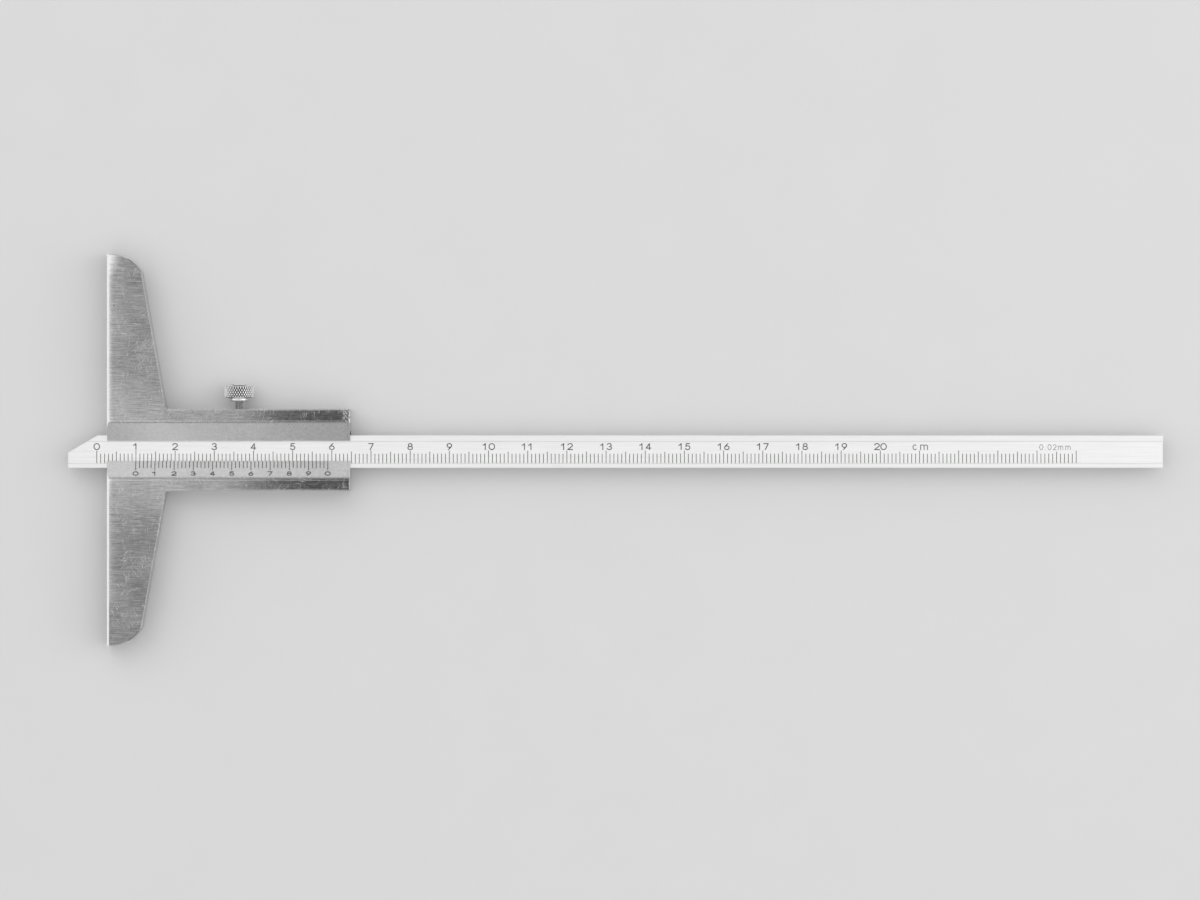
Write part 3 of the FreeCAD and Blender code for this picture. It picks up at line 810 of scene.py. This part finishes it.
@dataclass(frozen=True)
class Lettering:
    """One size of character, cut by a round cutter that follows the centre lines."""

    height: float
    width: float
    stroke: float
    cell: float = 0.035
    join_degrees: float = 2.5

    def shape(self, character: str, widen: float = 1.0) -> FlatShape:
        """The outline that the cutter leaves, centred across, on the base line.

        Args:
            character: one character of STROKES.
            widen: how much wider it is than a numeral.

        Returns:
            Its flat faces.
        """
        half = self.stroke / 2
        wide = self.width * widen - self.stroke
        tall = self.height - self.stroke
        runs = [
            np.array([((x - 0.5) * wide, y * tall + half) for x, y in stroke])
            for stroke in STROKES[character]
        ]
        margin = self.stroke
        low = np.array([-wide / 2 - margin, -margin])
        high = np.array([wide / 2 + margin, self.height + margin])
        counts = np.ceil((high - low) / self.cell).astype(int) + 1
        grid_x = low[0] + self.cell * np.arange(counts[0])
        grid_y = low[1] + self.cell * np.arange(counts[1])
        spots = np.stack(np.meshgrid(grid_x, grid_y, indexing="ij"), axis=-1)
        depth = half - self._distance(spots, runs)
        return self._trace(grid_x, grid_y, depth)

    def _distance(self, spots: np.ndarray, runs: Sequence[np.ndarray]) -> np.ndarray:
        """How far each spot lies from the nearest centre line."""
        nearest = np.full(spots.shape[:2], np.inf)
        for run in runs:
            for start, end in zip(run[:-1], run[1:]):
                way = end - start
                share = np.clip(((spots - start) @ way) / max(way @ way, TINY), 0, 1)
                gap = np.linalg.norm(spots - start - share[..., None] * way, axis=-1)
                nearest = np.minimum(nearest, gap)
        return nearest

    def _trace(self, grid_x: np.ndarray, grid_y: np.ndarray, depth: np.ndarray) -> FlatShape:
        """Fills where the depth is positive, cell by cell, then joins the cells into few faces."""
        mesh = bmesh.new()
        corners: dict[tuple, bmesh.types.BMVert] = {}

        def corner(i: int, j: int) -> bmesh.types.BMVert:
            """The point at a corner of the grid."""
            key = (i, j)
            if key not in corners:
                corners[key] = mesh.verts.new((grid_x[i], grid_y[j], 0))
            return corners[key]

        def crossing(a: tuple[int, int], b: tuple[int, int]) -> bmesh.types.BMVert:
            """The point between two corners where the depth is nought."""
            key = (min(a, b), max(a, b))
            if key not in corners:
                share = depth[a] / (depth[a] - depth[b])
                x = grid_x[a[0]] + (grid_x[b[0]] - grid_x[a[0]]) * share
                y = grid_y[a[1]] + (grid_y[b[1]] - grid_y[a[1]]) * share
                corners[key] = mesh.verts.new((x, y, 0))
            return corners[key]

        for i in range(len(grid_x) - 1):
            for j in range(len(grid_y) - 1):
                ring = [(i, j), (i + 1, j), (i + 1, j + 1), (i, j + 1)]
                if all(depth[spot] <= 0 for spot in ring):
                    continue
                outline = []
                for spot, following in zip(ring, ring[1:] + ring[:1]):
                    if depth[spot] > 0:
                        outline.append(corner(*spot))
                    if (depth[spot] > 0) != (depth[following] > 0):
                        outline.append(crossing(spot, following))
                if len(outline) > 2:
                    mesh.faces.new(outline)
        mesh.normal_update()
        level = math.radians(self.join_degrees)
        bmesh.ops.dissolve_limit(mesh, angle_limit=level, verts=mesh.verts, edges=mesh.edges)
        mesh.verts.index_update()
        points = [(vert.co.x, vert.co.y) for vert in mesh.verts]
        faces = [tuple(vert.index for vert in face.verts) for face in mesh.faces]
        mesh.free()
        return FlatShape(points, faces)

    def write(self, text: str, centre: float, base: float, advance: float) -> list[FlatShape]:
        """Sets characters on a base line, evenly about its middle, one shape to a character."""
        start = centre - advance * (len(text) - 1) / 2
        places = [(one, start + advance * i, WIDENED.get(one, 1.0)) for i, one in enumerate(text)]
        return self.set_apart(places, base)

    def set_apart(self, places: Iterable[tuple[str, float, float]], base: float) -> list[FlatShape]:
        """Sets characters on a base line, each at its own place and with its own widening."""
        return [self.shape(one, widen).moved(place, base) for one, place, widen in places]


@dataclass(frozen=True)
class Face:
    """A flat place on the object that marks are engraved on.

    Its origin and its two directions are in millimetres in the object's frame.
    """

    origin: Vector
    across: Vector
    up: Vector
    proud: float = 0.006
    sunk: float = 0.02

    def inlay(self, name: str, shapes: Iterable[FlatShape], finish: bpy.types.Material) -> bpy.types.Object:
        """Lays shapes into the face as thin solids.

        Args:
            name: the piece's name.
            shapes: what is engraved, in the face's own plane.
            finish: its material.

        Returns:
            The piece.
        """
        out = self.across.cross(self.up)
        points: list[Vector] = []
        faces: list[tuple[int, ...]] = []
        for shape in shapes:
            count = len(shape.points)
            first = len(points)
            level = [self.origin + self.across * x + self.up * y for x, y in shape.points]
            points += [spot + out * self.proud for spot in level]
            points += [spot - out * self.sunk for spot in level]
            edges = {}
            for face in shape.faces:
                faces.append(tuple(first + i for i in face))
                faces.append(tuple(first + count + i for i in reversed(face)))
                for a, b in zip(face, face[1:] + face[:1]):
                    edges[(a, b)] = True
            for a, b in edges:
                if (b, a) not in edges:
                    faces.append((first + b, first + a, first + count + a, first + count + b))
        return make_piece(name, points, faces, finish)


def tick(place: float, foot: float, top: float, width: float) -> FlatShape:
    """A straight graduation line from foot to top."""
    half = width / 2
    points = [(place - half, foot), (place + half, foot), (place + half, top), (place - half, top)]
    return FlatShape(points, [(0, 1, 2, 3)])


def make_piece(
    name: str,
    points: Sequence[Sequence[float]],
    faces: Sequence[Sequence[int]],
    finish: bpy.types.Material,
    smooth_degrees: float = 0.0,
) -> bpy.types.Object:
    """Makes a mesh object from points in millimetres.

    Args:
        name: the piece's name.
        points: its vertices.
        faces: its faces.
        finish: its material.
        smooth_degrees: edges that turn by less than this are shaded smooth.

    Returns:
        The object.
    """
    mesh = bpy.data.meshes.new(name)
    mesh.from_pydata([tuple(value * MM for value in point) for point in points], [], faces)
    mesh.validate()
    mesh.materials.append(finish)
    if smooth_degrees:
        mesh.shade_smooth()
        mesh.set_sharp_from_angle(angle=math.radians(smooth_degrees))
    piece = bpy.data.objects.new(name, mesh)
    bpy.context.scene.collection.objects.link(piece)
    LOG.info("made %s: %d points, %d faces", name, len(mesh.vertices), len(mesh.polygons))
    return piece


def dress(node: str, finish: bpy.types.Material) -> None:
    """Gives a carried-over node its finish."""
    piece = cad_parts[node]
    for place in piece.material_slots:
        place.material = finish
    LOG.info("dressed %s with %s", node, finish.name)


class Rank(Enum):
    """How long a graduation is: every centimetre, every half centimetre or every millimetre."""

    CENTIMETRE = "centimetre"
    HALF = "half"
    MILLIMETRE = "millimetre"


@dataclass
class Beam:
    """The beam: its finish and the main scale engraved on it."""

    zero: float = -2.7
    pitch: float = 1.0
    last: int = 250
    numbered: int = 20
    line_width: float = 0.175
    line_foot: float = -3.36
    tops: dict[Rank, float] = field(
        default_factory=lambda: {Rank.CENTIMETRE: -0.15, Rank.HALF: -0.43, Rank.MILLIMETRE: -0.94}
    )
    numeral_base: float = -0.02
    numerals: Lettering = Lettering(height=1.77, width=1.5, stroke=0.24)
    numeral_advance: float = 1.66
    unit: Lettering = Lettering(height=1.9, width=1.15, stroke=0.2)
    unit_places: tuple[tuple[str, float, float], ...] = (("c", 206.125, 1.0), ("m", 208.475, 1.7))
    resolution: Lettering = Lettering(height=1.45, width=0.98, stroke=0.13)
    resolution_places: tuple[tuple[str, float, float], ...] = (
        ("0", 238.4, 1.0),
        (".", 239.45, 1.0),
        ("0", 240.5, 1.0),
        ("2", 241.82, 1.0),
        ("m", 243.3, 1.35),
        ("m", 245.2, 1.35),
    )
    resolution_base: float = 0.0
    resolution_tone: float = 0.13
    scale_height: float = 1.68
    low_edge: float = -3.42
    high_edge: float = 2.2

    def build(self) -> list[bpy.types.Object]:
        """Dresses the beam and engraves its scale.

        Returns:
            The engraved pieces.
        """
        dress("beam", BeamSteel().material(self.low_edge, self.high_edge, self.scale_height / 2))
        ink = EngravingInk().material()
        light_ink = EngravingInk(name="engraving_ink_light", tone=self.resolution_tone).material()
        face = Face(Vector((0, 0, self.scale_height)), Vector((1, 0, 0)), Vector((0, 1, 0)))
        pieces = [
            face.inlay("beam_graduations", self.graduations(), ink),
            face.inlay("beam_numerals", self.numbers(), ink),
            face.inlay("beam_unit", self.unit.set_apart(self.unit_places, self.numeral_base), ink),
            face.inlay("beam_resolution", self.resolution_mark(), light_ink),
        ]
        for piece in pieces:
            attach(piece, "beam")
        return pieces

    def graduations(self) -> list[FlatShape]:
        """One line to a millimetre."""
        lines = []
        for count in range(self.last + 1):
            rank = Rank.HALF if count % PER_HALF == 0 else Rank.MILLIMETRE
            rank = Rank.CENTIMETRE if count % PER_CENTIMETRE == 0 else rank
            place = self.zero + self.pitch * count
            lines.append(tick(place, self.line_foot, self.tops[rank], self.line_width))
        return lines

    def numbers(self) -> list[FlatShape]:
        """A number over each centimetre line."""
        shapes = []
        for count in range(self.numbered + 1):
            place = self.zero + self.pitch * PER_CENTIMETRE * count
            shapes += self.numerals.write(str(count), place, self.numeral_base, self.numeral_advance)
        return shapes

    def resolution_mark(self) -> list[FlatShape]:
        """The instrument's resolution, in thinner characters."""
        return self.resolution.set_apart(self.resolution_places, self.resolution_base)


@dataclass(frozen=True)
class SunkBands:
    """The sloping bands either side of the window: where each ends, from the centre line, and their foot."""

    upper_edge: float = 6.97
    lower_edge: float = 7.26
    foot: float = 2.05


@dataclass
class Head:
    """The head: its finish and the vernier engraved on its lower sloping band."""

    length: float = 62.0
    bands: SunkBands = SunkBands()
    zero: float = 7.3
    divisions: int = 50
    pitch: float = 0.98
    numbered_every: int = 5
    line_width: float = 0.2
    short_end: float = -4.59
    long_end: float = -5.18
    numeral_base: float = -6.56
    numerals: Lettering = Lettering(height=1.15, width=1.42, stroke=0.245)
    band_top: Point = (-2.83, 2.10)
    band_foot: Point = (-6.85, 3.00)
    window_gap: float = 0.01

    def build(self) -> list[bpy.types.Object]:
        """Dresses the head and engraves the vernier.

        Returns:
            The engraved pieces.
        """
        dress("head", HeadSteel().material(self.length, self.bands))
        ink = EngravingInk(name="vernier_ink").material()
        start, end = (Vector((0, *edge)) for edge in (self.band_top, self.band_foot))
        self.slope = (start - end).normalized()
        face = Face(start, Vector((1, 0, 0)), self.slope)
        pieces = [
            face.inlay("vernier_graduations", self.graduations(), ink),
            face.inlay("vernier_numerals", self.numbers(), ink),
        ]
        for piece in pieces:
            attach(piece, "head")
        return pieces

    def on_slope(self, along_face: float) -> float:
        """How far up the slope a place seen from the front lies."""
        return (along_face - self.band_top[0]) / self.slope.y

    def graduations(self) -> list[FlatShape]:
        """The vernier's lines, from the window's edge."""
        lines = []
        for count in range(self.divisions + 1):
            end = self.long_end if count % self.numbered_every == 0 else self.short_end
            place = self.zero + self.pitch * count
            lines.append(tick(place, self.on_slope(end), -self.window_gap, self.line_width))
        return lines

    def numbers(self) -> list[FlatShape]:
        """A numeral under each long line, and nought again at the end."""
        shapes = []
        for count in range(0, self.divisions + 1, self.numbered_every):
            numeral = str(count // self.numbered_every % 10)
            place = self.zero + self.pitch * count
            shapes += self.numerals.write(numeral, place, self.on_slope(self.numeral_base), 0)
        return shapes


class Cut(Enum):
    """What is cut into a ring of the lock screw."""

    NONE = "none"
    THREAD = "thread"
    KNURL = "knurl"


@dataclass(frozen=True)
class Ring:
    """One ring of a turned piece: its height, its radius and how far it is cut."""

    height: float
    radius: float
    cut: Cut = Cut.NONE
    share: float = 1.0


@dataclass
class LockScrew:
    """The lock screw: dog point, threaded stem, collar, diamond-knurled knob and crown."""

    axis_x: float = 33.5
    foot: float = 4.31
    dog_radius: float = 0.6
    dog_length: float = 0.25
    stem_radius: float = 1.0
    stem_steps: int = 96
    thread_depth: float = 0.22
    thread_pitch: float = 0.4
    thread_rows: int = 8
    thread_runout: float = 0.25
    thread_flat: float = 0.125
    thread_flank: float = 0.625
    small_edge: float = 0.08
    collar_foot: float = 12.53
    collar_radius: float = 2.35
    collar_bend: float = 0.2
    neck_drop: float = 0.15
    neck_gap: float = 0.1
    knob_foot: float = 13.27
    knob_radius: float = 3.72
    knob_top: float = 16.41
    rim_drop: float = 0.3
    rim_width: float = 0.93
    rim_rows: int = 3
    seat_drop: float = 0.03
    seat_margin: float = 0.3
    crown_radius: float = 1.85
    crown_groove: float = 0.12
    crown_top: float = 16.9
    crown_bend: float = 0.18
    bend_steps: int = 5
    grooves: int = 34
    steps_to_groove: int = 12
    knurl_rows: int = 27
    knurl_depth: float = 0.26
    flat_peak: float = 0.42
    smooth_degrees: float = 22.0

    def build(self) -> bpy.types.Object:
        """Turns, threads and knurls the screw.

        Returns:
            The piece.
        """
        finish = ScrewPlate().material(self)
        points, faces = [], []
        shells = ((self.stem(), self.stem_steps), (self.knob(), self.grooves * self.steps_to_groove))
        for rings, steps in shells:
            new_points, new_faces = self.skin(rings, steps)
            faces += [tuple(len(points) + i for i in face) for face in new_faces]
            points += new_points
        piece = make_piece("lock_screw_turned", points, faces, finish, smooth_degrees=self.smooth_degrees)
        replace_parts(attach(piece, "lock_screw"), "lock_screw")
        return piece

    def stem(self) -> list[Ring]:
        """The dog point and the threaded stem."""
        edge, root = self.small_edge, self.stem_radius - self.thread_depth
        end = self.collar_foot - self.thread_runout
        rows = round((end - self.foot) / self.thread_pitch * self.thread_rows)
        heights = [self.foot + (end - self.foot) * i / rows for i in range(rows + 1)]
        threaded = [Ring(height, self.stem_radius, Cut.THREAD) for height in heights]
        return [
            Ring(self.foot - self.dog_length, self.dog_radius - edge),
            Ring(self.foot - self.dog_length + edge, self.dog_radius),
            Ring(self.foot, self.dog_radius),
            Ring(self.foot, root),
            *threaded,
            Ring(end + edge, root),
            Ring(self.collar_foot + edge, root),
        ]

    def knob(self) -> list[Ring]:
        """The collar, the knurled rim and the crown."""
        neck = self.collar_radius - self.neck_drop
        rim = self.knob_radius - self.rim_width
        low, high = self.knob_foot + self.rim_drop, self.knob_top - self.rim_drop
        shares = [i / self.rim_rows for i in range(self.rim_rows)]
        slope = [(self.rim_drop * share, rim + self.rim_width * share, share) for share in shares]
        under = [Ring(self.knob_foot + climb, radius, Cut.KNURL, share) for climb, radius, share in slope]
        band = [
            Ring(low + (high - low) * i / self.knurl_rows, self.knob_radius, Cut.KNURL)
            for i in range(self.knurl_rows + 1)
        ]
        over = [Ring(self.knob_top - climb, radius, Cut.KNURL, share) for climb, radius, share in slope]
        collar_top = self.knob_foot - self.neck_gap
        groove_top = self.knob_top + self.crown_groove
        return [
            *self.rounded(self.collar_foot, collar_top, self.collar_radius, self.collar_bend),
            Ring(self.knob_foot - self.small_edge, neck),
            Ring(self.knob_foot, neck),
            *under,
            *band,
            *reversed(over),
            Ring(self.knob_top - self.seat_drop, rim - self.seat_margin),
            Ring(self.knob_top - self.seat_drop, self.crown_radius),
            Ring(self.knob_top, self.crown_radius - self.seat_margin),
            Ring(groove_top, self.crown_radius - self.seat_margin),
            *self.rounded(groove_top, self.crown_top, self.crown_radius, self.crown_bend),
        ]

    def rounded(self, low: float, high: float, radius: float, bend: float) -> list[Ring]:
        """A short cylinder whose edges are rounded."""
        quarter = [math.pi / 2 * i / self.bend_steps for i in range(self.bend_steps + 1)]
        lower = [Ring(low + bend * (1 - math.cos(a)), radius - bend * (1 - math.sin(a))) for a in quarter]
        upper = [Ring(high - bend * (1 - math.sin(a)), radius - bend * (1 - math.cos(a))) for a in quarter]
        return lower + upper

    def skin(self, rings: Sequence[Ring], steps: int) -> tuple[list, list]:
        """Joins rings into a closed skin.

        Args:
            rings: the profile, from the foot up.
            steps: how many points go round a ring.

        Returns:
            Its points and its faces.
        """
        points: list[tuple[float, float, float]] = []
        reach: list[float] = []
        for ring in rings:
            for place in range(steps):
                turn = place / steps
                angle = 2 * math.pi * turn
                radius = ring.radius - ring.share * self.depth(ring.cut, turn, ring.height)
                reach.append(radius)
                side = self.axis_x + radius * math.cos(angle)
                points.append((side, ring.height, -radius * math.sin(angle)))
        faces: list[tuple[int, ...]] = []
        for row in range(len(rings) - 1):
            for place in range(steps):
                following = (place + 1) % steps
                a, b = row * steps + place, row * steps + following
                faces += self.panel(reach, a, b, b + steps, a + steps)
        faces.append(tuple(reversed(range(steps))))
        faces.append(tuple((len(rings) - 1) * steps + i for i in range(steps)))
        return points, faces

    def panel(self, reach: Sequence[float], a: int, b: int, c: int, d: int) -> list[tuple[int, ...]]:
        """Fills four corners, folded along the diagonal that a groove or a ridge follows.

        Args:
            reach: each point's distance from the axis.
            a: the first corner. The others follow round the panel.
            b: the second corner.
            c: the third corner.
            d: the fourth corner.

        Returns:
            One flat face, or two that meet on the more level diagonal, or on the deeper if both are level.
        """
        rising = (round(abs(reach[a] - reach[c]), 6), round(reach[a] + reach[c], 6))
        falling = (round(abs(reach[b] - reach[d]), 6), round(reach[b] + reach[d], 6))
        if rising == falling:
            return [(a, b, c, d)]
        if rising < falling:
            return [(a, b, c), (a, c, d)]
        return [(a, b, d), (b, c, d)]

    def depth(self, cut: Cut, turn: float, height: float) -> float:
        """How deep a ring is cut at a point.

        Args:
            cut: what is cut into the ring.
            turn: the point's place round the ring, 0 to 1.
            height: the ring's height.

        Returns:
            The depth in millimetres.
        """
        if cut is Cut.THREAD:
            flank = (self.valley(height / self.thread_pitch - turn) - self.thread_flat) / self.thread_flank
            return self.thread_depth * min(1.0, max(0.0, flank))
        if cut is Cut.KNURL:
            low, high = self.knob_foot + self.rim_drop, self.knob_top - self.rim_drop
            climb = (height - low) / (high - low) * self.knurl_rows / self.steps_to_groove
            around = self.grooves * turn
            deeper = max(self.valley(around + climb), self.valley(around - climb))
            return self.knurl_depth * max(0.0, (deeper - self.flat_peak) / (1 - self.flat_peak))
        return 0.0

    def valley(self, phase: float) -> float:
        """A V-shaped groove once to a unit: 1 on its floor at each whole number, 0 between."""
        return abs(2 * (phase % 1) - 1)


@dataclass
class LeafSpring:
    """The leaf spring, cut in two at its middle. On the caliper the set screws hold it down while its middle
    rises with the lock screw's point.
    """

    centre: float = 33.5
    half_length: float = 25.0
    held: float = 13.4
    lifted: float = 1.2
    slice_length: float = 0.5
    weld: float = 0.0001
    smooth_degrees: float = 30.0
    tint: tuple[float, float, float] = (0.96, 0.98, 1.0)

    def build(self) -> list[bpy.types.Object]:
        """Makes the two halves, which meet at the hole for the screw's point.

        Returns:
            The halves.
        """
        finish = PlainSteel(tint=self.tint).material()
        return [self.half("leaf_spring_left", -1, finish), self.half("leaf_spring_right", 1, finish)]

    def half(self, name: str, side: int, finish: bpy.types.Material) -> bpy.types.Object:
        """Cuts off one half of the strip and slices it across into short lengths from its middle outwards.

        Args:
            name: the half's name.
            side: 1 for the half away from the measuring face, -1 for the other.
            finish: its material.

        Returns:
            The half.
        """
        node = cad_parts["leaf_spring"]
        strip = bmesh.new()
        strip.from_mesh(node.data)
        strip.transform(node.matrix_world)
        weld = self.weld * MM
        bmesh.ops.remove_doubles(strip, verts=strip.verts, dist=weld)
        for count in range(round(self.half_length / self.slice_length)):
            place = Vector((self.centre + side * count * self.slice_length, 0, 0)) * MM
            geometry = [*strip.verts, *strip.edges, *strip.faces]
            bmesh.ops.bisect_plane(
                strip, geom=geometry, dist=weld, plane_co=place, plane_no=(side, 0, 0), clear_inner=count == 0
            )
        bmesh.ops.holes_fill(strip, edges=[edge for edge in strip.edges if edge.is_boundary])
        strip.verts.index_update()
        points = [vert.co / MM for vert in strip.verts]
        faces = [tuple(vert.index for vert in face.verts) for face in strip.faces]
        strip.free()
        piece = make_piece(name, points, faces, finish, smooth_degrees=self.smooth_degrees)
        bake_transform(piece)
        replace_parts(piece, "leaf_spring")
        return piece


@dataclass
class SetScrews:
    """The set screws, which keep their shapes and get their finish."""

    nodes: tuple[str, ...] = ("set_screw_front", "set_screw_rear")
    tone: float = 0.16
    roughness: float = 0.42

    def build(self) -> None:
        """Dresses them."""
        blackened = PlainSteel(slot="set_screw_steel", tone=self.tone, roughness=self.roughness).material()
        for node in self.nodes:
            dress(node, blackened)


@dataclass(frozen=True)
class Lamp:
    """A square soft lamp: its place and its side in millimetres, and its power in watts."""

    name: str
    place: tuple[float, float, float]
    size: float
    watts: float

    def hang(self, target: Vector) -> None:
        """Hangs the lamp so that it points at a target, which is in metres."""
        data = bpy.data.lights.new(self.name, "AREA")
        data.shape = "SQUARE"
        data.size = self.size * MM
        data.energy = self.watts
        lamp = bpy.data.objects.new(self.name, data)
        bpy.context.scene.collection.objects.link(lamp)
        lamp.location = Vector(self.place) * MM
        lamp.rotation_euler = (target - lamp.location).to_track_quat("-Z", "Y").to_euler()


@dataclass
class Studio:
    """A pale floor, a light tent with a dark gap overhead, two lamps, and the camera."""

    picture_width: float = 306.3
    picture_centre: float = 125.75
    camera_height: float = 1500.0
    true_height: float = 1.68
    sensor: float = 36.0
    floor_height: float = -3.76
    floor_half: float = 4000.0
    floor_tone: float = 0.73
    floor_mottle: Speckle = Speckle((60, 60, 60), 3.0)
    floor_swing: float = 0.02
    floor_roughness: float = 0.75
    lamps: tuple[Lamp, ...] = (
        Lamp("key", (-700, 1100, 800), 1600, 4.0),
        Lamp("right", (640, 60, 420), 500, 0.45),
    )
    gap_slopes: Span = (0.0612, 0.0568)
    gap_slant: float = 0.0018
    slant_reach: float = 0.01
    gap_start: Span = (-1.4, -1.1)
    gap_end: Span = (0.45, 0.3)
    gap_light: float = 0.205
    overhead_light: float = 0.85
    ring_tilts: Span = (12.0, 40.0)
    ring_light: float = 1.0
    low_tilts: Span = (44.0, 60.0)
    low_light: float = 0.48
    end_shares: Span = (0.76, 0.92)
    end_light: float = 0.95
    back_leans: Span = (0.2, 0.6)
    back_light: float = 0.08
    least_height: float = 0.05

    def build(self) -> None:
        """Builds floor, light and camera."""
        self.lay_floor()
        self.light_tent()
        for lamp in self.lamps:
            lamp.hang(Vector((self.picture_centre, 0, 0)) * MM)
        self.place_camera()
        bpy.context.scene.view_settings.view_transform = "Standard"

    def lay_floor(self) -> None:
        """A plain pale floor with a faint mottle."""
        material, tree = new_finish("pale_floor")
        tone = self.floor_mottle.over(tree, tree.place()).swing(self.floor_swing) + self.floor_tone
        tree.surface({"Base Color": tree.grey(tone), "Roughness": self.floor_roughness})
        reach = self.floor_half
        corners = [(-reach, -reach), (reach, -reach), (reach, reach), (-reach, reach)]
        points = [(x, y, self.floor_height) for x, y in corners]
        make_piece("floor", points, [(0, 1, 2, 3)], material)

    def light_tent(self) -> None:
        """Light from all round, dimmer overhead, with a dark gap along Y where the camera looks through."""
        world = bpy.data.worlds.new("tent")
        bpy.context.scene.world = world
        tree = FinishTree(world)
        way = Link(tree, tree.node("ShaderNodeTexCoord").outputs["Generated"])
        side, forward, overhead = tree.split(way)
        height = tree.greatest(overhead, self.least_height)
        lean, stretch = forward / height, abs(side / height)
        tilt = tree.math("ARCCOSINE", tree.math("MINIMUM", overhead, NEARLY_ONE))
        ring, low = (tilt.rise(*map(math.radians, tilts)) for tilts in (self.ring_tilts, self.low_tilts))
        light = tree.blend(low, tree.blend(ring, self.overhead_light, self.ring_light), self.low_light)
        light = light + abs(side).rise(*self.end_shares) * self.end_light
        light = light + lean.rise(*self.back_leans) * self.back_light
        along = lean.rise(*self.gap_start) * lean.rise(*self.gap_end)
        slant = lean.rise(-self.slant_reach, self.slant_reach).swing(self.gap_slant)
        gap = (stretch + slant).rise(*self.gap_slopes) * along * (overhead > 0)
        light = tree.blend(gap, light, self.gap_light)
        glow = tree.node("ShaderNodeBackground", None, {"Color": tree.grey(light), "Strength": 1.0})
        tree.node("ShaderNodeOutputWorld", None, {"Surface": glow.outputs[0]})

    def place_camera(self) -> None:
        """Looks straight down on the beam's face, as the photograph does."""
        data = bpy.data.cameras.new("camera")
        data.sensor_width = self.sensor
        data.lens = self.sensor * (self.camera_height - self.true_height) / self.picture_width
        camera = bpy.data.objects.new("camera", data)
        bpy.context.scene.collection.objects.link(camera)
        camera.location = Vector((self.picture_centre, 0, self.camera_height)) * MM
        bpy.context.scene.camera = camera


def main() -> None:
    """Builds the caliper's looks, then the studio."""
    logging.basicConfig(level=logging.INFO, format="%(name)s: %(message)s")
    for maker in (Head(), Beam(), LockScrew(), LeafSpring(), SetScrews(), Studio()):
        maker.build()
        LOG.info("%s done", type(maker).__name__)


if __name__ == "__main__":
    main()
